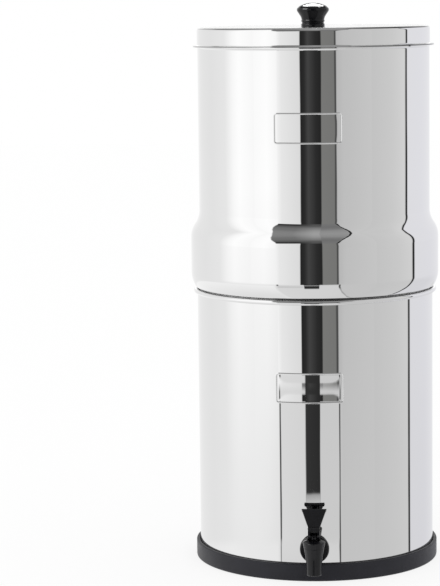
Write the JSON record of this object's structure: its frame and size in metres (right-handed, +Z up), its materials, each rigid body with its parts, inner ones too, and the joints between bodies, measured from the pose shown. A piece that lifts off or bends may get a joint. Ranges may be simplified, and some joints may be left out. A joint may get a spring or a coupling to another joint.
{
  "type": "gravity water filter",
  "caption": "Countertop gravity water filter: stacked polished steel chambers, flanged lid with knob, carbon elements inside, rubber base ring and a black plastic lever tap at the foot.",
  "frame": {"origin": "middle of the base ring's underside, on the surface that the filter stands on", "axes": "+Z up, -Y towards the tap, +X to the right seen from the tap's side"},
  "size_m": [0.2266, 0.2592, 0.5098],
  "materials": {
    "polished_steel": "mirror-polished stainless steel",
    "black_plastic": "glossy moulded black plastic",
    "ring_rubber": "smooth satin black rubber",
    "seal_rubber": "matt black rubber",
    "silicone": "translucent white silicone, satin",
    "carbon": "pressed carbon block, matt and slightly grainy",
    "cap_plastic": "moulded dark blue plastic, satin",
    "plated_steel": "zinc-plated steel"
  },
  "bodies": {
    "root": {"base_ring": "ring_rubber", "lower_chamber": "polished_steel", "tap_body": "black_plastic", "tap_bonnet": "black_plastic", "tap_outer_washer": "seal_rubber", "tap_inner_washer": "seal_rubber", "tap_nut": "black_plastic"},
    "upper": {"upper_chamber": "polished_steel", "carbon_element_left": "carbon", "carbon_element_right": "carbon", "element_base_left": "cap_plastic", "element_base_right": "cap_plastic", "element_seal_left": "seal_rubber", "element_seal_right": "seal_rubber", "element_wing_nut_left": "black_plastic", "element_wing_nut_right": "black_plastic", "hole_plugs": "black_plastic", "plug_seals": "seal_rubber", "plug_wing_nuts": "black_plastic"},
    "lid": {"lid": "polished_steel", "lid_knob": "black_plastic", "knob_washer": "plated_steel", "knob_screw": "plated_steel"},
    "valve": {"valve_stem": "black_plastic", "seat_cup": "silicone", "lever_pin": "plated_steel"},
    "lever": {"tap_lever": "black_plastic"}
  },
  "joints": [
    {"name": "upper_lift", "type": "slide", "parent": "root", "child": "upper", "axis": [0, 0, 1], "range_m": [0, 0.06]},
    {"name": "lid_lift", "type": "slide", "parent": "upper", "child": "lid", "axis": [0, 0, 1], "range_m": [0, 0.05]},
    {"name": "valve_lift", "type": "slide", "parent": "root", "child": "valve", "axis": [0, 0, 1], "range_m": [0, 0.003]},
    {"name": "lever_tilt", "type": "hinge", "parent": "valve", "child": "lever", "pos_m": [0, -0.135, 0.0462], "axis": [1, 0, 0], "range_deg": [0, 90]}
  ],
  "couplings": [
    {"joint": "valve_lift", "follows": "lever_tilt", "m_per_rad": 0.0019}
  ]
}
